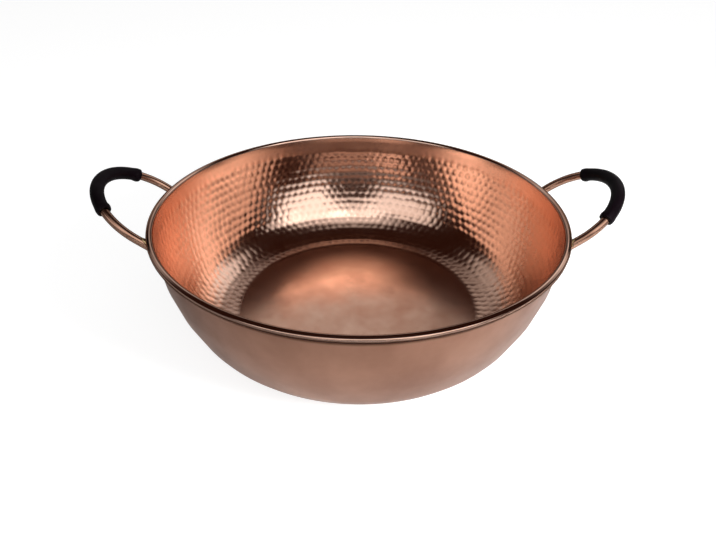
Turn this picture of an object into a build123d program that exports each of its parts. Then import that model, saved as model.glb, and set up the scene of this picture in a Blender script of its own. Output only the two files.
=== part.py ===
from build123d import *

import os
from math import acos, cos, degrees, radians, sin, sqrt

# Two-handled hammered copper pan with a flat base, a rolled rim over a wire and hose grips.
# Lengths are millimetres and angles are degrees.
# The origin is the middle of the base, where it stands. +Z is up, +X points at one handle
# and -Y is the front.

# Bowl, one beaten sheet
rim_outer_radius = 233.0
bead_height = 136.5          # centre of the rolled rim above the ground
base_radius = 147.2          # flat floor, out to the crease
sheet = 1.2
toe_angle = 6.0              # slope of the wall where it leaves the crease
knuckle_angle = 62.0         # slope where the tight lower curve becomes the long upper one
rim_lean = 1.0               # how far the wall is off upright below the rim

# Rolled rim
wire_diameter = 5.0
wire_clearance = 0.05        # between the wire and the sheet rolled round it
seam_gap = 0.15              # between the rolled edge and the wall

# Handles, one bent rod each
rod_diameter = 9.5
handle_tilt = 37.0           # rise of the loop above level
foot_half_spacing = 63.0     # also the radius of the bend
straight_leg = 20.4          # from the wall to the start of the bend
foot_drop = 15.3             # the feet below the centre of the rolled rim
root_length = 14.0           # rod that runs on into the wall before it is cut to it

# Hose grips
sleeve_diameter = 14.5
sleeve_clearance = 0.15
sleeve_arc = 107.0           # share of the bend that the hose covers
slip_left = 4.0              # how far each hose has slid towards the rear
slip_right = -6.5

# Brazed feet
joint_gap = 0.1              # film between rod, filler and wall
filler_spread = 3.4          # filler beyond the rod where it meets the wall
filler_waist = 1.1           # filler beyond the rod at the middle of its height
filler_lip = 0.3             # filler beyond the rod at its upper end
filler_height = 8.2
filler_middle = 3.9
filler_root = 1.2            # filler that runs on into the wall before it is cut to it

# Sizes that follow
curl_radius = wire_diameter / 2 + wire_clearance
bead_radius = curl_radius + sheet
bead_centre = (rim_outer_radius - bead_radius, bead_height)
rim_slope = 90 - rim_lean
curl_sweep = 360 - rim_lean - degrees(acos((curl_radius - seam_gap) / bead_radius))
rod_radius = rod_diameter / 2
upper_wall_radius = rim_outer_radius - bead_radius - curl_radius
foot_x = sqrt(upper_wall_radius**2 - foot_half_spacing**2)
foot_z = bead_height - foot_drop


def wall_radii():
    """Radii of the two tangent arcs that join the crease to the rim, from their total run and rise."""
    run = bead_centre[0] - curl_radius * cos(radians(rim_lean)) - base_radius
    rise = bead_centre[1] + curl_radius * sin(radians(rim_lean))
    toe, knuckle, top = (radians(angle) for angle in (toe_angle, knuckle_angle, rim_slope))
    lower_run = sin(knuckle) - sin(toe)
    upper_run = sin(top) - sin(knuckle)
    lower_rise = cos(toe) - cos(knuckle)
    upper_rise = cos(knuckle) - cos(top)
    spread = lower_run * upper_rise - upper_run * lower_rise
    lower = (run * upper_rise - rise * upper_run) / spread
    upper = (rise * lower_run - run * lower_rise) / spread
    return lower, upper


knuckle_radius, wall_radius = wall_radii()
knuckle_centre = Vector(
    base_radius - knuckle_radius * sin(radians(toe_angle)),
    knuckle_radius * cos(radians(toe_angle)),
)
wall_centre = knuckle_centre + (knuckle_radius - wall_radius) * Vector(
    sin(radians(knuckle_angle)), -cos(radians(knuckle_angle))
)


def wall_arcs(inset):
    """Draw the wall's two arcs at a depth inside its outer surface, from the floor up to the rim."""
    floor_cosine = (knuckle_centre.Y - inset) / (knuckle_radius - inset)
    toe = degrees(acos(floor_cosine))
    lower = CenterArc(knuckle_centre, knuckle_radius - inset, toe - 90, knuckle_angle - toe)
    upper = CenterArc(wall_centre, wall_radius - inset, knuckle_angle - 90, rim_slope - knuckle_angle)
    return lower, upper


# Bowl: the sheet's section from the middle of the floor, up the wall and round the wire
with BuildPart() as bowl_shell:
    with BuildSketch(Plane.XZ):
        with BuildLine():
            outer_lower, outer_upper = wall_arcs(0)
            inner_lower, inner_upper = wall_arcs(sheet)
            curl_inside = CenterArc(bead_centre, curl_radius, 180 - rim_lean, -curl_sweep)
            curl_outside = CenterArc(bead_centre, bead_radius, 180 - rim_lean, -curl_sweep)
            Line(curl_inside @ 1, curl_outside @ 1)
            Polyline(outer_lower @ 0, (0, 0), (0, sheet), inner_lower @ 0)
        make_face()
    revolve(axis=Axis.Z)
bowl_shell.part.label = "bowl_shell"


# Wire that stiffens the rim, closed inside the roll
with BuildPart() as rim_wire:
    with BuildSketch(Plane.XZ):
        with Locations(bead_centre):
            Circle(wire_diameter / 2)
    revolve(axis=Axis.Z)
rim_wire.part.label = "rim_wire"


# Everything inside the pan's outer surface, a film larger, which trims the feet and the filler
with BuildPart() as pan_form:
    with BuildSketch(Plane.XZ):
        with BuildLine():
            form_lower, form_upper = wall_arcs(-joint_gap)
            form_top = form_upper @ 1
            Polyline(form_lower @ 0, (0, -joint_gap), (0, form_top.Y), form_top)
        make_face()
        with Locations(bead_centre):
            Circle(bead_radius + joint_gap)
    revolve(axis=Axis.Z)


def handle_plane(side):
    """Plane of one loop: X runs from the wall out along the legs, Y points to the rear."""
    tilt = radians(handle_tilt)
    return Plane(
        origin=(side * foot_x, 0, foot_z),
        x_dir=(side * cos(tilt), 0, sin(tilt)),
        z_dir=(-sin(tilt), 0, side * cos(tilt)),
    )


def handle_rod(side):
    """One rod: two straight legs and a half-round bend, its feet cut to the wall."""
    with BuildPart() as rod:
        with BuildLine(handle_plane(side)) as path:
            rear_leg = Line((-root_length, foot_half_spacing), (straight_leg, foot_half_spacing))
            CenterArc((straight_leg, 0), foot_half_spacing, 90, -180)
            Line((straight_leg, -foot_half_spacing), (-root_length, -foot_half_spacing))
        with BuildSketch(Plane(origin=rear_leg @ 0, z_dir=rear_leg % 0)):
            Circle(rod_radius)
        sweep(path=path.wires()[0])
        add(pan_form.part, mode=Mode.SUBTRACT)
    return rod.part


def grip_sleeve(side, slip):
    """One hose on the bend, slid a few degrees towards the rear."""
    with BuildPart() as sleeve:
        with BuildLine(handle_plane(side)) as path:
            CenterArc((straight_leg, 0), foot_half_spacing, slip + sleeve_arc / 2, -sleeve_arc)
        with BuildSketch(Plane(origin=path.line @ 0, z_dir=path.line % 0)):
            Circle(sleeve_diameter / 2)
            Circle(rod_radius + sleeve_clearance, mode=Mode.SUBTRACT)
        sweep(path=path.wires()[0])
    return sleeve.part


def braze(side, end):
    """Filler round one foot: wide on the wall, waisted, and thin where it runs out on the rod."""
    loop = handle_plane(side)
    foot = loop.from_local_coords((0, end * foot_half_spacing, 0))
    wall_normal = Vector(side * foot_x, end * foot_half_spacing, 0).normalized()
    along = loop.x_dir
    slant = cos(radians(handle_tilt))
    across = along.cross(wall_normal).normalized()
    base = Plane(origin=foot - filler_root * along, x_dir=across, z_dir=wall_normal)
    waist = Plane(origin=foot + filler_middle * along, x_dir=across, z_dir=wall_normal + along)
    top = Plane(origin=foot + filler_height * along, x_dir=across, z_dir=along)
    with BuildPart() as filler:
        with BuildSketch(base):
            Ellipse(rod_radius + filler_spread, rod_radius / slant + filler_spread)
        with BuildSketch(waist):
            Ellipse(rod_radius + filler_waist, rod_radius / sqrt(slant) + filler_waist)
        with BuildSketch(top):
            Circle(rod_radius + filler_lip)
        loft()
        with BuildSketch(Plane(origin=foot - root_length * along, z_dir=along)):
            Circle(rod_radius + joint_gap)
        extrude(amount=root_length + 2 * filler_height, mode=Mode.SUBTRACT)
        add(pan_form.part, mode=Mode.SUBTRACT)
    return filler.part


pieces = {
    "bowl_shell": bowl_shell.part,
    "rim_wire": rim_wire.part,
    "handle_rod_left": handle_rod(-1),
    "handle_rod_right": handle_rod(1),
    "grip_sleeve_left": grip_sleeve(-1, slip_left),
    "grip_sleeve_right": grip_sleeve(1, slip_right),
    "braze_left_front": braze(-1, -1),
    "braze_left_rear": braze(-1, 1),
    "braze_right_front": braze(1, -1),
    "braze_right_rear": braze(1, 1),
}

os.makedirs("parts", exist_ok=True)
for name, piece in pieces.items():
    piece.label = name
    export_step(piece, f"parts/{name}.step")
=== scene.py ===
"""The looks of a two-handled hammered copper pan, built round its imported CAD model.

The bowl, the rods, the hoses and the filler at the feet are surfaces worked out from the sizes
below, in millimetres, and go into metre meshes in the CAD model's own frame.
"""

from math import acos, cos, pi, radians, sin, sqrt, tan

import bpy
import numpy as np
from mathutils import Matrix


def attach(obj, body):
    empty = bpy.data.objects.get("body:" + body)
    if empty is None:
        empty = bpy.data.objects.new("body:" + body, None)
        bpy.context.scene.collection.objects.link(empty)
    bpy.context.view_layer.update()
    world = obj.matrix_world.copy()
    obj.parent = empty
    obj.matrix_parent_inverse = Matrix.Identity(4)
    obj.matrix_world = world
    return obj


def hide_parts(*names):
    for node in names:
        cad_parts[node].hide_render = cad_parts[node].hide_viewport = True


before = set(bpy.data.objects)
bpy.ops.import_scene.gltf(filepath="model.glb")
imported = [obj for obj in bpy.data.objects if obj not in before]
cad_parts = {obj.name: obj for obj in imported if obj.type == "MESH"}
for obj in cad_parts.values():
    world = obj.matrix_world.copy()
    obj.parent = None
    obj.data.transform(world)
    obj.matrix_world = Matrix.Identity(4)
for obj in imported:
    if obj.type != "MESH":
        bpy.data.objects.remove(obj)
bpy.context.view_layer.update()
random = np.random.default_rng(7)

MM = 0.001

# Bowl section, as in the CAD model
rim_outer_radius = 233.0
bead_height = 136.5
base_radius = 147.2
sheet = 1.2
toe_angle = radians(6.0)
knuckle_angle = radians(62.0)
rim_lean = radians(1.0)
curl_radius = 2.55
seam_gap = 0.15

# Handles, as in the CAD model
rod_radius = 4.75
handle_tilt = radians(37.0)
foot_half_spacing = 63.0
straight_leg = 20.4
foot_drop = 15.3
hose_radius = 7.25
hose_bore_radius = 4.9
hose_arc = radians(107.0)
hose_slip = {-1: radians(4.0), 1: radians(-6.5)}

# Points round each tube
rod_columns = 40
hose_columns = 48
filler_columns = 56
bend_rings = 71              # along the rod's half circle
leg_rings = 9                # along each of its legs

# Ends of the hoses
hose_edge = 0.7              # rounding of the cut
hose_end = 12.0              # rings are closer together over this length
swell_at = 4.0               # the hose swells most this far from its cut
swell_length = 3.4
swell = (0.35, 0.75)         # all round, and added towards the inside of the bend
gape = (0.25, 0.7)           # how far the bore opens at the cut, in the same two shares
gape_length = 3.0

# Brazing filler at the feet
filler_on_wall = (4.2, 5.2)  # reach over the wall: all round, and added above the rod
filler_on_rod = 11.5         # reach along the rod
filler_hollow = (3.4, 1.5)   # what pulls the curve in: out along the rod, and off its skin
filler_uneven = 0.11         # share by which each wave round the foot changes the reach
filler_top = 0.4             # highest point above the middle of the rolled rim
filler_sunk = 0.5            # how far its back lies inside the wall

# Hammer marks on the inside of the wall
mark_pitch_up = 9.6          # between rows
mark_pitch_round = 9.8       # along a row
mark_radius = 46.0           # roundness of the hammer's face
mark_depth = 0.34            # deepest point below the untouched metal
mark_step = 0.56             # each row starts this share of a pitch further round
mark_scatter = 0.5           # how far a blow lands from its place
mark_uneven = 0.035          # how much deeper or shallower a blow goes
deepest_extra = 0.1          # and the most that any goes deeper
ridge_rounding = 0.022       # how round the ridges between marks are rubbed
mark_rows = 16
rows_alike = 4               # rows in a run with one number of marks, set in each other's gaps
rings_per_row = 5
columns = 800
bare_above_marks = 3.0       # the first ring of the unhammered band is this far above the marks

# How the finish changes over the sheet
band_share = 0.6             # how rubbed the unhammered band is, next to the wall by the handles
band_fade = (9.0, 12.0)      # it starts this far below the band and grows over this length
handle_rub = (0.72, 0.26)    # by the handles, from this |cosine| round the rim over this much
right_shade_span = (0.3, 0.5)       # painted shade on the right side, by the cosine in the same way
seam_shade_start = (radians(16), radians(20))  # painted shade starts here on the rolled rim and grows downwards
seam_shade_fade = (6.5, 10.5)     # and fades out between these lengths below the roll

bead_radius = curl_radius + sheet
bead_at = (rim_outer_radius - bead_radius, bead_height)
bead_flat_at = radians(64)   # the rolled rim was planished a little flat, facing up and out
bead_flat_depth = 0.46       # how far the flat is below the round
shy = 0.03                   # the drawn skin stays this far inside the CAD model's
rim_slope = pi / 2 - rim_lean
upper_wall_radius = rim_outer_radius - bead_radius - curl_radius
foot_x = sqrt(upper_wall_radius**2 - foot_half_spacing**2)
foot_z = bead_height - foot_drop


def wall_arcs():
    """Centres and radii of the wall's two tangent arcs, from their total run and rise."""
    run = bead_at[0] - curl_radius * cos(rim_lean) - base_radius
    rise = bead_at[1] + curl_radius * sin(rim_lean)
    low_run, high_run = sin(knuckle_angle) - sin(toe_angle), sin(rim_slope) - sin(knuckle_angle)
    low_rise, high_rise = cos(toe_angle) - cos(knuckle_angle), cos(knuckle_angle) - cos(rim_slope)
    spread = low_run * high_rise - high_run * low_rise
    low = (run * high_rise - rise * high_run) / spread
    high = (rise * low_run - run * low_rise) / spread
    low_at = (base_radius - low * sin(toe_angle), low * cos(toe_angle))
    high_at = (
        low_at[0] + (low - high) * sin(knuckle_angle),
        low_at[1] - (low - high) * cos(knuckle_angle),
    )
    return low, low_at, high, high_at


low_radius, low_at, high_radius, high_at = wall_arcs()


def wall_section(slope, inset):
    """A point of the wall's section by its slope: centre + (radius - inset) * (sin, -cos)."""
    slope = np.asarray(slope, float)
    lower = slope < knuckle_angle
    radius = np.where(lower, low_radius, high_radius) - inset
    r = np.where(lower, low_at[0], high_at[0]) + radius * np.sin(slope)
    z = np.where(lower, low_at[1], high_at[1]) - radius * np.cos(slope)
    return r, z


def outer_radius(z):
    """The pan's outer radius at a height: on the lower arc, the upper arc or round the bead."""
    z = np.asarray(z, float)
    knuckle_z = low_at[1] - low_radius * cos(knuckle_angle)
    centre_r = np.where(z < knuckle_z, low_at[0], high_at[0])
    centre_z = np.where(z < knuckle_z, low_at[1], high_at[1])
    radius = np.where(z < knuckle_z, low_radius, high_radius)
    wall = centre_r + np.sqrt(np.maximum(radius**2 - (centre_z - z) ** 2, 0))
    bead = bead_at[0] + np.sqrt(np.maximum(bead_radius**2 - (z - bead_at[1]) ** 2, 0))
    return np.where(np.abs(z - bead_at[1]) < bead_radius, np.maximum(wall, bead), wall)


def ease(share):
    """0 to 1 with level ends: 3 s^2 - 2 s^3."""
    share = np.clip(share, 0, 1)
    return share**2 * (3 - 2 * share)


def bead_section(angle):
    """Radius of the rolled rim's section: round, r, and flat, d / cos, joined softly.

    (r^-p + (d / cos)^-p)^(-1/p) is close to the smaller of the two.
    """
    full, sharpness = bead_radius - shy, 60
    # past this cosine the flat is far outside the round and has no say
    towards = np.maximum(np.cos(angle - bead_flat_at), 0.3)
    flat = (full - bead_flat_depth) / towards
    return (full**-sharpness + flat**-sharpness) ** (-1 / sharpness)


def signed_volume(points, faces):
    """Volume of a closed mesh: the sum of a . (b x c) / 6 over its triangles."""
    a, b, c = (points[faces[:, i]] for i in range(3))
    volume = np.einsum("ij,ij->i", a, np.cross(b, c)).sum()
    if faces.shape[1] == 4:
        c, d = points[faces[:, 2]], points[faces[:, 3]]
        volume += np.einsum("ij,ij->i", a, np.cross(c, d)).sum()
    return volume / 6


def grid_mesh(name, grid, caps=False, ring=False, values=None):
    """Skin a grid of rows x columns x 3 points, in mm, into a closed mesh that faces outward.

    Columns always close on themselves. The rows close on themselves with ring, or end in one
    point each with caps, whose first and last rows are then single points. values holds one
    number per grid point for each named attribute.
    """
    rows, cols = grid.shape[:2]
    index = np.arange(rows * cols).reshape(rows, cols)
    upper = np.roll(index, -1, 0) if ring else index[1:]
    lower = index if ring else index[:-1]
    quads = np.stack([lower, np.roll(lower, -1, 1), np.roll(upper, -1, 1), upper], -1)
    quads = quads.reshape(-1, 4)
    points = grid.reshape(-1, 3)
    if signed_volume(points, quads) < 0:
        quads = quads[:, ::-1]
    faces = quads.tolist()
    if caps:
        # a capped grid repeats each end point in every column: merge those into one vertex
        keep = np.ones(rows * cols, bool)
        keep[1:cols] = keep[-cols + 1 :] = False
        new = np.cumsum(keep) - 1
        new[:cols], new[-cols:] = new[0], new[-cols]
        points = points[keep]
        quads = new[quads]
        faces = [list(dict.fromkeys(face)) for face in quads.tolist()]
        values = {key: v.reshape(-1)[keep] for key, v in (values or {}).items()}
    mesh = bpy.data.meshes.new(name)
    mesh.from_pydata((points * MM).tolist(), [], faces)
    for key, value in (values or {}).items():
        mesh.attributes.new(key, "FLOAT", "POINT").data.foreach_set("value", value.ravel())
    mesh.polygons.foreach_set("use_smooth", np.ones(len(mesh.polygons), bool))
    mesh.validate()
    piece = bpy.data.objects.new(name, mesh)
    bpy.context.scene.collection.objects.link(piece)
    return piece


def hammer_height(along, radius, angle):
    """Height of the hammered face above each mark's own deepest point, in mm.

    Every blow leaves a round hollow, d^2 / (2 R) above its middle at distance d. The hollows
    overlap, so the surface is the lowest of them with the ridges between them rubbed round,
    -s log(sum of exp(-height / s)), levelled off where no blow reached.
    """
    row_at = (np.arange(mark_rows) + 0.5) * mark_pitch_up
    run_at = (np.arange(mark_rows) // rows_alike + 0.5) * rows_alike * mark_pitch_up
    count = np.round(2 * pi * np.interp(run_at, along, radius) / mark_pitch_round).astype(int)
    start = pi / 2 + np.cumsum(mark_step * 2 * pi / count)
    size = (mark_rows, count.max())
    shift_up = random.normal(0, mark_scatter, size)
    shift_round = random.normal(0, mark_scatter, size)
    uneven = random.normal(0, mark_uneven, size)
    nearest_row = np.floor(along / mark_pitch_up).astype(int)
    sunk = np.zeros((len(along), len(angle)))
    for row_step in (-1, 0, 1):
        row = nearest_row + row_step
        inside = ((row >= 0) & (row < mark_rows))[:, None]
        row = np.clip(row, 0, mark_rows - 1)
        pitch = (2 * pi / count[row])[:, None]
        nearest = np.round((angle[None, :] - start[row][:, None]) / pitch).astype(int)
        for step in (-1, 0, 1):
            mark = nearest + step
            pick = (row[:, None], np.mod(mark, count[row][:, None]))
            turn = angle[None, :] - start[row][:, None] - mark * pitch
            across = turn * radius[:, None] - shift_round[pick]
            up = along[:, None] - row_at[row][:, None] - shift_up[pick]
            hollow = (across**2 + up**2) / (2 * mark_radius) - uneven[pick]
            sunk += inside * np.exp(-np.maximum(hollow, -deepest_extra) / ridge_rounding)
    height = -ridge_rounding * np.log(np.maximum(sunk, 1e-12))
    positive = np.maximum(height, 0)
    return np.where(height < 0, height, positive / (1 + (positive / mark_depth) ** 4) ** 0.25)


# The bowl's material slots
HAMMERED, FLOOR, OUTSIDE, RIM = range(4)


def bowl():
    """The whole beaten sheet as one closed skin: its section (r, z) carried round the middle.

    It starts in the middle of the floor, goes up the hammered wall, over the rolled rim and
    into the roll, and comes back down the outside to the middle of the underside. The hammer
    marks push the wall's face out along its normal by depth - height.
    """
    angle = np.arange(columns) * 2 * pi / columns
    floor_r = np.array([0, 70, 130, 145.6])  # the last ring is just inside the crease
    floor_z = np.full(len(floor_r), sheet)
    first_slope = acos((low_at[1] - sheet) / (low_radius - sheet))
    low_length = (low_radius - sheet) * (knuckle_angle - first_slope)
    hammered_length = mark_rows * mark_pitch_up
    total = low_length + (high_radius - sheet) * (rim_slope - knuckle_angle)
    along = np.concatenate(
        [
            np.linspace(0, hammered_length, mark_rows * rings_per_row + 1),
            np.linspace(hammered_length + bare_above_marks, total, 3),
        ]
    )
    slope = np.where(
        along < low_length,
        first_slope + along / (low_radius - sheet),
        knuckle_angle + (along - low_length) / (high_radius - sheet),
    )
    inner_r, inner_z = wall_section(slope, sheet)
    curl_end = -pi + acos((curl_radius - seam_gap) / bead_radius)
    # rows of the rolled rim's section: round, over the planished flat, and round again
    round_bead = np.concatenate(
        [
            np.linspace(pi - rim_lean, radians(105), 5)[1:],
            np.linspace(radians(98), radians(40), 7),
            np.linspace(radians(30), curl_end, 7),
        ]
    )
    bead_at_angle = bead_section(round_bead)
    inside_curl = np.linspace(curl_end, pi - rim_lean, 4)
    under_rim = rim_slope - np.array(seam_shade_fade) / high_radius
    down = np.concatenate([under_rim, np.linspace(under_rim[-1], toe_angle, 11)[1:]])
    outer_r, outer_z = wall_section(down, 0)
    under_r = np.array([base_radius - 1.0, 90, 0])
    r = np.concatenate(
        [
            floor_r,
            inner_r,
            bead_at[0] + bead_at_angle * np.cos(round_bead),
            bead_at[0] + curl_radius * np.cos(inside_curl),
            outer_r,
            under_r,
        ]
    )
    z = np.concatenate(
        [
            floor_z,
            inner_z,
            bead_at[1] + bead_at_angle * np.sin(round_bead),
            bead_at[1] + curl_radius * np.sin(inside_curl),
            outer_z,
            np.zeros(len(under_r)),
        ]
    )
    dent = np.zeros((len(r), columns))
    ridge = np.ones((len(r), columns))
    wall_rows = slice(len(floor_r), len(floor_r) + len(along))
    height = hammer_height(along, inner_r, angle)
    hammered = (along < hammered_length + 0.5 * mark_pitch_up)[:, None]
    dent[wall_rows] = np.where(hammered, mark_depth - height, 0)
    ridge[wall_rows] = np.where(hammered, height / mark_depth, 1)
    push_r, push_z = np.zeros(len(r)), np.zeros(len(r))
    push_r[wall_rows], push_z[wall_rows] = np.sin(slope), -np.cos(slope)
    push_z[len(floor_r)] = 0  # the crease stays level
    ring_r = r[:, None] + dent * push_r[:, None]
    ring_z = z[:, None] + dent * push_z[:, None]
    grid = np.stack([ring_r * np.cos(angle), ring_r * np.sin(angle), ring_z], -1)
    rub, painted_right_shade = np.zeros((len(r), columns)), np.zeros((len(r), columns))
    to_band = ease((along - hammered_length + band_fade[0]) / band_fade[1])[:, None]
    by_handle = ease((np.abs(np.cos(angle)) - handle_rub[0]) / handle_rub[1])[None, :]
    rub[wall_rows] = np.maximum(band_share * to_band, by_handle)
    # painted shade: the right side of the inside wall is darker
    painted_right_shade[wall_rows] = ease((np.cos(angle) - right_shade_span[0]) / right_shade_span[1])[None, :]
    # painted shade in the seam below the rolled rim: on the roll's underside, inside the curl and
    # on the top of the outside wall
    painted_seam_shade = np.zeros((len(r), columns))
    bead_start = len(floor_r) + len(along)
    curl_start = bead_start + len(round_bead)
    painted_seam_shade[bead_start:curl_start] = ease((seam_shade_start[0] - round_bead) / seam_shade_start[1])[:, None]
    painted_seam_shade[curl_start : curl_start + len(inside_curl) + 1] = 1
    values = {"ridge": ridge, "rub": rub, "painted_right_shade": painted_right_shade, "painted_seam_shade": painted_seam_shade}
    piece = grid_mesh("pan_bowl", grid, caps=True, values=values)
    # faces run row by row, the pole rows included, so the finish follows the row
    wall_end = len(floor_r) + len(along) - 1
    bead_end = len(floor_r) + len(along) + len(round_bead) + len(inside_curl) - 1
    finish = np.full(len(r) - 1, OUTSIDE)
    finish[: len(floor_r)] = FLOOR
    finish[len(floor_r) : wall_end] = HAMMERED
    finish[wall_end:bead_end] = RIM
    piece.data.polygons.foreach_set("material_index", np.repeat(finish, columns))
    return piece


def loop_frame(side):
    """Where one handle's plane is: its foot, the way out along the legs, rearward, and across."""
    out = np.array([side * cos(handle_tilt), 0, sin(handle_tilt)])
    rear = np.array([0.0, 1, 0])
    return np.array([side * foot_x, 0, foot_z]), out, rear, np.cross(out, rear)


def tube_point(side, out, rear, radius, around):
    """Points on a round tube: centre + radius * (cos * away from the bend + sin * across it).

    out and rear place the centre-line in the handle's plane: legs straight out from the wall,
    then a half circle between them.
    """
    foot, out_axis, rear_axis, across_axis = loop_frame(side)
    bend = np.arctan2(rear, np.maximum(out - straight_leg, 0) + 1e-9)
    away = np.cos(bend)[..., None] * out_axis + np.sin(bend)[..., None] * rear_axis
    centre = foot + out[..., None] * out_axis + rear[..., None] * rear_axis
    return centre + radius * (
        np.cos(around)[..., None] * away + np.sin(around)[..., None] * across_axis
    )


def leg_start(side, end, around, sink):
    """How far along a leg each of its lines starts, so that it ends a little inside the wall.

    The range that holds the crossing is halved until it is as narrow as numbers go.
    """
    low, high = np.full(len(around), -14.0), np.full(len(around), 14.0)
    rear = np.full(len(around), end * foot_half_spacing)
    for _ in range(40):
        middle = (low + high) / 2
        point = tube_point(side, middle, rear, rod_radius, around)
        outside = np.hypot(point[:, 0], point[:, 1]) > outer_radius(point[:, 2]) - sink
        high = np.where(outside, middle, high)
        low = np.where(outside, low, middle)
    return high


def rod(side, name):
    """One bent rod: each line along it runs from wall to wall over two legs and a half circle."""
    around = np.arange(rod_columns) * 2 * pi / rod_columns
    start = {end: leg_start(side, end, around, 0.25) for end in (1, -1)}
    share = np.linspace(0, 1, leg_rings)[:, None]
    rear_out = start[1] + share * (straight_leg - start[1])
    front_out = (start[-1] + share * (straight_leg - start[-1]))[::-1]
    bend = np.linspace(pi / 2, -pi / 2, bend_rings + 2)[1:-1, None] + np.zeros(rod_columns)
    out = np.concatenate([rear_out, straight_leg + foot_half_spacing * np.cos(bend), front_out])
    rear = np.concatenate(
        [
            np.full(rear_out.shape, foot_half_spacing),
            foot_half_spacing * np.sin(bend),
            np.full(front_out.shape, -foot_half_spacing),
        ]
    )
    grid = tube_point(side, out, rear, rod_radius, np.broadcast_to(around, out.shape))
    ends = [np.broadcast_to(row.mean(0), row.shape) for row in (grid[0], grid[-1])]
    grid = np.concatenate([ends[0][None], grid, ends[1][None]])
    steps = np.linalg.norm(np.diff(grid.mean(1), axis=0), axis=1)
    length = np.concatenate([[0], np.cumsum(steps)])
    turn = np.broadcast_to(np.sin(around), out.shape)
    turn = np.concatenate([turn[:1], turn, turn[-1:]])
    values = {"length": np.broadcast_to(length[:, None], turn.shape), "turn": turn}
    return grid_mesh(name, grid, caps=True, values=values)


def hose(side, name):
    """One hose: a tube skin that runs out, turns in over its cut end and comes back as the bore.

    Near each end the wall swells by exp(-((d - middle) / length)^2) at distance d from the cut,
    most towards the inside of the bend, where the hose is squeezed, and the bore opens round
    the rod by exp(-d / length).
    """
    around = np.arange(hose_columns) * 2 * pi / hose_columns
    length = foot_half_spacing * hose_arc
    cut = hose_edge / 2
    position = np.concatenate(
        [np.linspace(0, hose_end, 15)[1:], np.linspace(hose_end, length / 2, 24)[1:]]
    )
    position = np.concatenate([[cut], position, (length - position[-2::-1]), [length - cut]])
    from_end = np.minimum(position, length - position)
    over_edge = 1 - np.clip(from_end / hose_edge, 0, 1)
    lip = hose_edge * (1 - np.sqrt(np.clip(1 - over_edge**2, 0, 1)))
    swollen = np.exp(-((from_end - swell_at) / swell_length) ** 2)[:, None]
    open_end = np.exp(-from_end / gape_length)[:, None]
    inward = 0.5 - 0.5 * np.cos(around)
    outer = hose_radius - shy - lip[:, None] + swollen * (swell[0] + swell[1] * inward)
    bore = hose_bore_radius + open_end * (gape[0] + gape[1] * inward)
    radius = np.concatenate([outer, bore[::-1]])
    travel = np.concatenate([position, position[::-1]])
    bend = hose_slip[side] + hose_arc / 2 - travel / foot_half_spacing
    out = (straight_leg + foot_half_spacing * np.cos(bend))[:, None] + np.zeros(hose_columns)
    rear = (foot_half_spacing * np.sin(bend))[:, None] + np.zeros(hose_columns)
    angle = np.broadcast_to(around, radius.shape)
    middle = tube_point(side, out, rear, 0, angle)
    grid = middle + radius[..., None] * (tube_point(side, out, rear, 1, angle) - middle)
    values = {
        "length": np.broadcast_to(travel[:, None], radius.shape),
        "turn": np.broadcast_to(around, radius.shape),
    }
    return grid_mesh(name, grid, ring=True, values=values)


def filler(side, end, name):
    """Brazing filler round one foot: a hollow curve from the rod to the wall, all the way round.

    Each line is (1-t)^2 rod + 2t(1-t) pull + t^2 wall, where pull lies a little way out from
    where rod and wall meet. Its height and reach vary a little round the foot.
    """
    around = np.arange(filler_columns) * 2 * pi / filler_columns
    wave = sum(
        random.normal(0, filler_uneven) * np.cos(k * around + random.uniform(0, 2 * pi))
        for k in (1, 2, 3, 5)
    )
    start = leg_start(side, end, around, 0.0)
    rear = np.full(filler_columns, end * foot_half_spacing)
    corner = tube_point(side, start, rear, rod_radius, around)
    axis_point = tube_point(side, start, rear, 0, around)
    outward = corner - axis_point
    wall_normal = np.array([corner[:, 0], corner[:, 1], 0 * around]).T
    wall_normal /= np.linalg.norm(wall_normal, axis=1)[:, None]
    outward -= np.einsum("ij,ij->i", outward, wall_normal)[:, None] * wall_normal
    outward /= np.linalg.norm(outward, axis=1)[:, None]
    # it reaches furthest above the rod, where it bridges to the underside of the rolled rim
    above = np.maximum(outward[:, 2], 0) ** 3
    reach = (filler_on_wall[0] + filler_on_wall[1] * above) * (1 + wave)
    on_wall = corner + reach[:, None] * outward
    on_wall[:, 2] = np.minimum(on_wall[:, 2], bead_height + filler_top)
    stretch = (outer_radius(on_wall[:, 2]) - 0.05) / np.hypot(on_wall[:, 0], on_wall[:, 1])
    on_wall[:, :2] *= stretch[:, None]
    along_rod = start + filler_on_rod * (1 - wave)
    on_rod = tube_point(side, along_rod, rear, rod_radius + 0.02, around)
    out, off = filler_hollow
    pull = tube_point(side, start + out, rear, rod_radius + off, around)
    t = np.linspace(0, 1, 11)[:, None, None]
    skin = (1 - t) ** 2 * on_rod + 2 * t * (1 - t) * pull + t**2 * on_wall
    # the back of the filler lies against the rod and the wall, just under their skins
    back_rod = tube_point(side, start + 1.0, rear, rod_radius - 0.4, around)
    back_wall = on_wall - filler_sunk * wall_normal
    back_corner = corner - filler_sunk * wall_normal
    grid = np.concatenate([skin, back_wall[None], back_corner[None], back_rod[None]])
    return grid_mesh(name, grid, ring=True)


# A Mix node's sockets, by index: its colour pair and colour result, and its number pair
MIX_A, MIX_B, MIX_RESULT = 6, 7, 2
MIX_X, MIX_Y = 2, 3


def linear(hex_colour):
    """An sRGB hex value as linear RGBA."""
    srgb = np.array([int(hex_colour[i : i + 2], 16) for i in (1, 3, 5)]) / 255
    rgb = np.where(srgb <= 0.04045, srgb / 12.92, ((srgb + 0.055) / 1.055) ** 2.4)
    return (*rgb.tolist(), 1.0)


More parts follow.
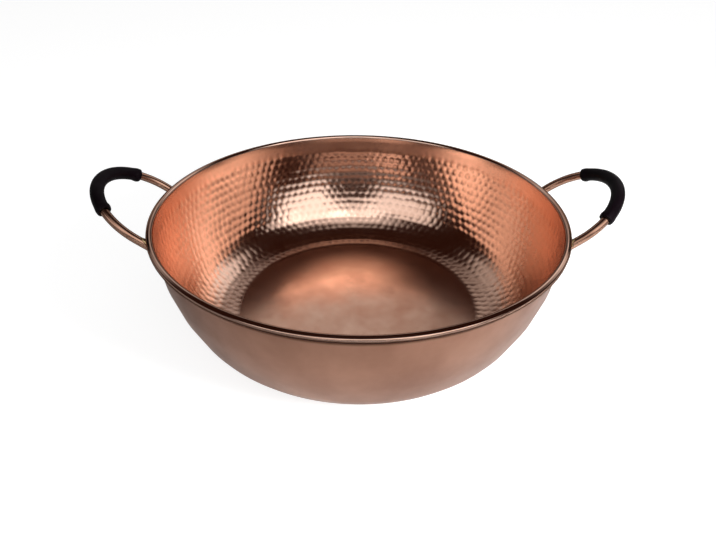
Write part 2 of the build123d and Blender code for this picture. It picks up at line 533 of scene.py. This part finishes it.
def add(tree, kind, inputs=None, **settings):
    """Add one node: settings are its properties; inputs are values, or sockets to link from."""
    new = tree.nodes.new(kind)
    for key, value in settings.items():
        setattr(new, key, value)
    for key, value in (inputs or {}).items():
        if isinstance(value, bpy.types.NodeSocket):
            tree.links.new(value, new.inputs[key])
        else:
            new.inputs[key].default_value = value
    return new


def material(name, **shader_values):
    """A new material with a Principled shader, with plain values set on the shader's sockets."""
    made = bpy.data.materials.new(name)
    made.use_nodes = True
    shader = made.node_tree.nodes["Principled BSDF"]
    for key, value in shader_values.items():
        shader.inputs[key.replace("_", " ")].default_value = value
    return made, made.node_tree, shader


def per_metre(millimetres):
    """Noise scale for a pattern whose features are this many millimetres apart."""
    return 1 / (millimetres * MM)


def worked_metal(
    name, fresh, worn, roughness, patch, grain, grain_height,
    hammered=False, paints_seam_shade=False, edge="#FFFFFF",
):
    """Worked metal: two tones that drift over patches, and a fine grain left by the tool.

    roughness is (smoothest, roughest); patch, grain and grain_height are in mm.
    On hammered sheet the ridges are brighter, the rubbed parts duller and the right side painted
    darker, as shade.
    One with painted shade darkens into the seam below the rolled rim. edge tints what it
    mirrors at a shallow angle.
    """
    made, tree, shader = material(name, Metallic=1.0)
    shader.inputs["Specular Tint"].default_value = linear(edge)
    place = add(tree, "ShaderNodeTexCoord").outputs["Object"]
    cloud = add(
        tree, "ShaderNodeTexNoise",
        {"Vector": place, "Scale": per_metre(patch), "Detail": 4.0, "Roughness": 0.55},
    )
    fine = add(
        tree, "ShaderNodeTexNoise",
        {"Vector": place, "Scale": per_metre(grain), "Detail": 3.0, "Roughness": 0.6},
    )
    tone = add(
        tree, "ShaderNodeMapRange",
        {"Value": cloud.outputs["Fac"], "From Min": tone_range[0], "From Max": tone_range[1]},
    ).outputs["Result"]
    if hammered:
        ridge = add(tree, "ShaderNodeAttribute", attribute_name="ridge").outputs["Fac"]
        # painted shade on the right side of the inside
        painted_right_shade = add(tree, "ShaderNodeAttribute", attribute_name="painted_right_shade").outputs["Fac"]
        tone = add(tree, "ShaderNodeMath", {0: tone, 1: ridge}, operation="SUBTRACT")
        tone = add(
            tree, "ShaderNodeMath", {0: tone.outputs["Value"], 1: painted_right_shade}, use_clamp=True
        ).outputs["Value"]
    colour = add(
        tree, "ShaderNodeMix",
        {"Factor": tone, MIX_A: linear(fresh), MIX_B: linear(worn)}, data_type="RGBA",
    ).outputs[MIX_RESULT]
    # painted shade, darkening into the seam below the rolled rim
    if paints_seam_shade:
        painted_seam_shade = add(tree, "ShaderNodeAttribute", attribute_name="painted_seam_shade").outputs["Fac"]
        colour = add(
            tree, "ShaderNodeMix",
            {"Factor": painted_seam_shade, MIX_A: colour, MIX_B: linear(seam_shade_colour)}, data_type="RGBA",
        ).outputs[MIX_RESULT]
    tree.links.new(colour, shader.inputs["Base Color"])
    uneven = add(
        tree, "ShaderNodeMix",
        {"Factor": fine_share, MIX_X: cloud.outputs["Fac"], MIX_Y: fine.outputs["Fac"]},
    )
    rough = add(
        tree, "ShaderNodeMapRange",
        {"Value": uneven.outputs["Result"],
         "From Min": dull_range[0], "From Max": dull_range[1],
         "To Min": roughness[0], "To Max": roughness[1]},
    ).outputs["Result"]
    if hammered:
        rub = add(tree, "ShaderNodeAttribute", attribute_name="rub").outputs["Fac"]
        rough = add(
            tree, "ShaderNodeMath",
            {0: rub, 1: rubbed_dullness, 2: rough}, operation="MULTIPLY_ADD",
        ).outputs["Value"]
    if paints_seam_shade:
        rough = add(
            tree, "ShaderNodeMath",
            {0: painted_seam_shade, 1: seam_shade_dullness, 2: rough}, operation="MULTIPLY_ADD",
        ).outputs["Value"]
    tree.links.new(rough, shader.inputs["Roughness"])
    bump = add(
        tree, "ShaderNodeBump",
        {"Height": fine.outputs["Fac"], "Distance": grain_height * MM},
    )
    tree.links.new(bump.outputs["Normal"], shader.inputs["Normal"])
    return made


tone_range = (0.32, 0.7)     # noise values over which the tone goes from fresh to worn
dull_range = (0.36, 0.64)    # and the roughness from smoothest to roughest
line_range = (0.3, 0.7)      # the same for the rod and the hoses
fine_share = 0.35            # the fine grain's share in the roughness, against the patches'
rubbed_dullness = 0.1        # how much rougher the rubbed parts of the inside are
seam_shade_colour = "#3A2016"       # painted shade in the seam below the rolled rim
seam_shade_dullness = 0.3         # how much rougher it is than the metal
rod_line_length = 20.0       # of the drawing lines on the rods, in mm
rod_lines = 18.0             # lines over the rod's radius: 0.26 mm apart
hose_line_length = 30.0      # of the die lines on the hoses
hose_lines = 14.0            # lines in one radian round the hose: 0.5 mm apart

# Bright hammered copper: each polished blow mirrors the room, with a little oxide in the hollows
# and painted shade on the right side
hammered_copper = worked_metal(
    "hammered_copper", "#F8CFB9", "#E9BFA8", (0.11, 0.18), 60, 1.6, 0.006, hammered=True
)
# Planished copper floor: rubbed flat and satin, with soft cloudy handling marks
floor_copper = worked_metal(
    "planished_copper_floor", "#F8CBB2", "#E3AE94", (0.17, 0.27), 38, 0.9, 0.002
)
# Outside left from the rolling mill and wiped: duller than the worked inside, and a darker copy of
# its copper as painted shade
shaded_outside_copper = worked_metal(
    "shaded_copper_outside", "#B68973", "#9A6F5B", (0.3, 0.4), 80, 1.2, 0.004, paints_seam_shade=True
)
# Rolled rim: rubbed bright by the forming tool and by hands, with oxide that dulls its edges, and
# painted shade on its underside
rim_copper = worked_metal(
    "burnished_copper_rim", "#EAC5B2", "#D3AA97", (0.08, 0.15), 40, 0.9, 0.002,
    paints_seam_shade=True, edge="#A08A7E",
)
# Hidden wire: plain drawn steel with dull oxide
wire_steel = worked_metal("drawn_steel_wire", "#8C8C8C", "#6F6C69", (0.35, 0.5), 30, 0.8, 0.003)


def drawn_rod():
    """Drawn copper rod: fine lines along it from the die, and a brown film from handling."""
    made, tree, shader = material("drawn_copper_rod", Metallic=1.0)
    along = add(tree, "ShaderNodeAttribute", attribute_name="length").outputs["Fac"]
    turn = add(tree, "ShaderNodeAttribute", attribute_name="turn").outputs["Fac"]
    place = add(tree, "ShaderNodeCombineXYZ", {"X": along, "Y": turn}).outputs["Vector"]
    stretch = (1 / rod_line_length, rod_lines, 1.0)
    spread = add(tree, "ShaderNodeMapping", {"Vector": place, "Scale": stretch})
    lines = add(
        tree, "ShaderNodeTexNoise",
        {"Vector": spread.outputs["Vector"], "Scale": 1.0, "Detail": 3.0, "Roughness": 0.6},
    )
    where = add(tree, "ShaderNodeTexCoord").outputs["Object"]
    cloud = add(
        tree, "ShaderNodeTexNoise", {"Vector": where, "Scale": per_metre(22), "Detail": 3.0}
    )
    colour = add(
        tree, "ShaderNodeMix",
        {"Factor": cloud.outputs["Fac"], MIX_A: linear("#D0A68F"), MIX_B: linear("#956C5A")},
        data_type="RGBA",
    ).outputs[MIX_RESULT]
    tree.links.new(colour, shader.inputs["Base Color"])
    rough = add(
        tree, "ShaderNodeMapRange",
        {"Value": lines.outputs["Fac"], "From Min": line_range[0], "From Max": line_range[1],
         "To Min": 0.16, "To Max": 0.26},
    )
    tree.links.new(rough.outputs["Result"], shader.inputs["Roughness"])
    bump = add(tree, "ShaderNodeBump", {"Height": lines.outputs["Fac"], "Distance": 0.02 * MM})
    tree.links.new(bump.outputs["Normal"], shader.inputs["Normal"])
    return made


def black_rubber():
    """Extruded rubber hose: a smooth black skin with faint die lines and a dusty bloom."""
    made, tree, shader = material("extruded_black_rubber", Metallic=0.0, Specular_IOR_Level=0.11)
    along = add(tree, "ShaderNodeAttribute", attribute_name="length").outputs["Fac"]
    turn = add(tree, "ShaderNodeAttribute", attribute_name="turn").outputs["Fac"]
    place = add(tree, "ShaderNodeCombineXYZ", {"X": along, "Y": turn}).outputs["Vector"]
    stretch = (1 / hose_line_length, hose_lines, 1.0)
    spread = add(tree, "ShaderNodeMapping", {"Vector": place, "Scale": stretch})
    lines = add(
        tree, "ShaderNodeTexNoise",
        {"Vector": spread.outputs["Vector"], "Scale": 1.0, "Detail": 2.0},
    )
    where = add(tree, "ShaderNodeTexCoord").outputs["Object"]
    bloom = add(
        tree, "ShaderNodeTexNoise", {"Vector": where, "Scale": per_metre(9), "Detail": 4.0}
    )
    colour = add(
        tree, "ShaderNodeMix",
        {"Factor": bloom.outputs["Fac"], MIX_A: linear("#040103"), MIX_B: linear("#090407")},
        data_type="RGBA",
    ).outputs[MIX_RESULT]
    tree.links.new(colour, shader.inputs["Base Color"])
    rough = add(
        tree, "ShaderNodeMapRange",
        {"Value": bloom.outputs["Fac"], "From Min": line_range[0], "From Max": line_range[1],
         "To Min": 0.42, "To Max": 0.56},
    )
    tree.links.new(rough.outputs["Result"], shader.inputs["Roughness"])
    bump = add(tree, "ShaderNodeBump", {"Height": lines.outputs["Fac"], "Distance": 0.05 * MM})
    tree.links.new(bump.outputs["Normal"], shader.inputs["Normal"])
    return made


# Silver-bearing filler, pale yellow where it flowed and faintly pitted by the flux
filler_alloy = worked_metal("pale_brazing_filler", "#DCC496", "#B28F62", (0.26, 0.4), 6, 0.7, 0.02)
rod_copper = drawn_rod()
hose_rubber = black_rubber()

pan = bowl()
# in the order of the bowl's slots
for finish in (hammered_copper, floor_copper, shaded_outside_copper, rim_copper):
    pan.data.materials.append(finish)
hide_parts("bowl_shell")
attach(pan, "root")

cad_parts["rim_wire"].data.materials.clear()
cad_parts["rim_wire"].data.materials.append(wire_steel)

for side, hand in ((-1, "left"), (1, "right")):
    bar = rod(side, f"bent_rod_{hand}")
    bar.data.materials.append(rod_copper)
    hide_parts(f"handle_rod_{hand}")
    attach(bar, "root")
    grip = hose(side, f"hose_{hand}")
    grip.data.materials.append(hose_rubber)
    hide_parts(f"grip_sleeve_{hand}")
    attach(grip, "root")
    for end, place in ((-1, "front"), (1, "rear")):
        fillet = filler(side, end, f"filler_{hand}_{place}")
        fillet.data.materials.append(filler_alloy)
        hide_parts(f"braze_{hand}_{place}")
        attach(fillet, "root")


def mirror_rays(tree):
    """1 for rays that look by way of metal or glass, and 0 for others."""
    ray = add(tree, "ShaderNodeLightPath").outputs
    return add(
        tree, "ShaderNodeMath",
        {0: ray["Is Glossy Ray"], 1: ray["Is Transmission Ray"]}, operation="MAXIMUM",
    ).outputs["Value"]


def studio_floor():
    """A wide floor that looks white and takes the pan's shadow. Metal sees it dim, but for a
    painted pool of light round the pan.
    """
    bpy.ops.mesh.primitive_plane_add(size=floor_width, location=(0, 0, -floor_gap))
    floor = bpy.context.object
    floor.name = "studio_floor"
    made, tree, shader = material("white_studio_floor", Roughness=0.9)
    shader.inputs["Base Color"].default_value = linear("#A0A0A0")
    shader.inputs["Emission Color"].default_value = (1, 1, 1, 1)
    ray = add(tree, "ShaderNodeLightPath").outputs
    straight = add(
        tree, "ShaderNodeMath", {0: ray["Is Camera Ray"], 1: floor_glow}, operation="MULTIPLY"
    ).outputs["Value"]
    place = add(tree, "ShaderNodeTexCoord").outputs["Object"]
    from_pan = add(tree, "ShaderNodeVectorMath", {0: place}, operation="LENGTH").outputs["Value"]
    # a painted pool of light on the floor round the pan, seen only by metal
    painted_pool_in_metal = add(
        tree, "ShaderNodeMapRange",
        {"Value": from_pan, "From Min": painted_pool_reach[1], "From Max": painted_pool_reach[0],
         "To Min": floor_glow_in_metal, "To Max": painted_pool_by_pan},
    ).outputs["Result"]
    glow = add(
        tree, "ShaderNodeMath",
        {0: mirror_rays(tree), 1: painted_pool_in_metal, 2: straight}, operation="MULTIPLY_ADD",
    )
    tree.links.new(glow.outputs["Value"], shader.inputs["Emission Strength"])
    floor.data.materials.append(made)


def studio_world():
    """White to the eye all round. Metal shows a pale grey backdrop and a dark ceiling."""
    world = bpy.data.worlds.new("studio_world")
    world.use_nodes = True
    bpy.context.scene.world = world
    tree = world.node_tree
    back = tree.nodes["Background"]
    ray = add(tree, "ShaderNodeLightPath").outputs
    looking = add(tree, "ShaderNodeTexCoord").outputs["Generated"]
    height = add(tree, "ShaderNodeSeparateXYZ", {"Vector": looking}).outputs["Z"]
    ceiling = add(
        tree, "ShaderNodeMapRange",
        {"Value": height, "From Min": sin(backdrop_top[0]), "From Max": sin(backdrop_top[1])},
    ).outputs["Result"]
    room = add(
        tree, "ShaderNodeMix",
        {"Factor": ceiling, MIX_A: linear(backdrop_colour), MIX_B: linear(ceiling_colour)},
        data_type="RGBA",
    ).outputs[MIX_RESULT]
    mirrored = mirror_rays(tree)
    shade = add(
        tree, "ShaderNodeMix",
        {"Factor": mirrored, MIX_A: (1, 1, 1, 1), MIX_B: room}, data_type="RGBA",
    ).outputs[MIX_RESULT]
    tree.links.new(shade, back.inputs["Color"])
    seen = add(
        tree, "ShaderNodeMath", {0: ray["Is Camera Ray"], 1: mirrored}, operation="MAXIMUM"
    ).outputs["Value"]
    level = add(
        tree, "ShaderNodeMapRange", {"Value": seen, "To Min": falling_light, "To Max": 1.0}
    )
    tree.links.new(level.outputs["Result"], back.inputs["Strength"])


def window(
    name, bearing, height, across, upright, brightness,
    soft_across=0.1, soft_upright=0.1, turned=0, distance=4,
):
    """A lit rectangle that faces the pan; a mirror shows it at the given brightness.

    bearing and height are the way to its middle, and across and upright how wide it looks, all
    in degrees; turned lifts its right-hand end. Its power is pi x area x brightness. It fades
    over the outer part of each side.
    """
    bearing, height = radians(bearing), radians(height)
    back = np.array([cos(height) * cos(bearing), cos(height) * sin(bearing), sin(height)])
    lamp = bpy.data.lights.new(name, "AREA")
    lamp.shape = "RECTANGLE"
    lamp.size = 2 * distance * tan(radians(across / 2))
    lamp.size_y = 2 * distance * tan(radians(upright / 2))
    lamp.energy = pi * lamp.size * lamp.size_y * brightness
    lamp.use_nodes = True
    tree = lamp.node_tree
    place = add(tree, "ShaderNodeNewGeometry").outputs["Parametric"]
    sides = add(tree, "ShaderNodeSeparateXYZ", {"Vector": place}).outputs
    fades = []
    for side, soft in ((sides["X"], soft_across), (sides["Y"], soft_upright)):
        from_middle = add(tree, "ShaderNodeMath", {0: side, 1: 0.5}, operation="SUBTRACT")
        from_middle = add(
            tree, "ShaderNodeMath", {0: from_middle.outputs["Value"]}, operation="ABSOLUTE"
        )
        fades.append(
            add(
                tree, "ShaderNodeMapRange",
                {"Value": from_middle.outputs["Value"], "From Min": 0.5, "From Max": 0.5 - soft},
                interpolation_type="SMOOTHSTEP",
            ).outputs["Result"]
        )
    fade = add(tree, "ShaderNodeMath", {0: fades[0], 1: fades[1]}, operation="MULTIPLY")
    tree.links.new(fade.outputs["Value"], tree.nodes["Emission"].inputs["Strength"])
    holder = bpy.data.objects.new(name, lamp)
    bpy.context.scene.collection.objects.link(holder)
    right = np.cross([0, 0, 1], back)
    right /= np.linalg.norm(right)
    facing = Matrix(np.stack([right, np.cross(back, right), back], 1).tolist()).to_4x4()
    lifted = Matrix.Rotation(radians(turned), 4, "Z")
    holder.matrix_world = Matrix.Translation((distance * back).tolist()) @ facing @ lifted
    return holder


def camera():
    """The photograph's view: from the front, 33 degrees down and a hair out of level."""
    at = np.array([-0.01548, -0.59716, 0.44493])
    target = np.array([-0.00034, 0.00001, 0.05395])
    roll = radians(0.777)
    back = (at - target) / np.linalg.norm(at - target)
    level = np.cross([0, 0, 1], back)
    level /= np.linalg.norm(level)
    plumb = np.cross(back, level)
    right = level * cos(roll) + plumb * sin(roll)
    up = -level * sin(roll) + plumb * cos(roll)
    lens = bpy.data.cameras.new("photo_view")
    lens.sensor_fit = "HORIZONTAL"
    lens.sensor_width = 36.0
    lens.lens = 29.473
    lens.clip_start = 0.01
    holder = bpy.data.objects.new("photo_view", lens)
    bpy.context.scene.collection.objects.link(holder)
    turn = Matrix(np.stack([right, up, back], 1).tolist()).to_4x4()
    holder.matrix_world = Matrix.Translation(at.tolist()) @ turn
    bpy.context.scene.camera = holder


floor_width = 12.0                         # in metres
floor_gap = 0.0004                         # below the pan, so that no two faces share a place
floor_glow = 0.82                          # what the lit floor lacks to look white
floor_glow_in_metal = 0.03                 # the same for a mirror, which sees it dimmer far out
painted_pool_by_pan = 0.32                   # and a painted pool of light next to the pan, seen only in metal
painted_pool_reach = (0.18, 0.36)                  # metres from the middle over which the painted pool fades
falling_light = 0.20                       # of the white room, on dull surfaces
backdrop_top = (radians(4), radians(12))   # where the pale backdrop gives way to the ceiling
backdrop_colour = "#A6A6A6"                # as metal shows it
ceiling_colour = "#28130B"

studio_floor()
studio_world()
window("front_window_right", 308, 33, 50, 52, 1.36, 0.28, 0.3, turned=8)
window("front_window_left", 235, 31, 57, 38, 1.0, 0.3, 0.3)
window("front_window_middle", 272, 41, 38, 38, 0.85, 0.3, 0.2)
window("front_window_top", 274, 59, 66, 50, 0.72, 0.4, 0.5)
window("side_window_right", 332, 34, 30, 24, 0.6, 0.3, 0.3)
window("rear_wall", 92, 38, 110, 40, 0.12, 0.15, 0.28)
window("rear_window_middle", 91, 40, 36, 44, 0.34, 0.35, 0.3)
window("rear_window_right", 48, 33, 42, 32, 0.82, 0.3, 0.25)
window("rear_window_left", 128, 36, 42, 30, 0.36, 0.3, 0.3)
# a low white card in front, which the rolled rim mirrors as one clean line
window("front_card", 272, 12.5, 60, 7, 1.1, 0.3, 0.3, distance=0.78)
# near the pan, so that the outside mirrors a brighter floor on the right; unseen in metal
floor_lamp = window("floor_lamp", 318, 32, 20, 20, 56.0, distance=0.95)
floor_lamp.visible_glossy = False
camera()
bpy.context.scene.view_settings.view_transform = "Standard"
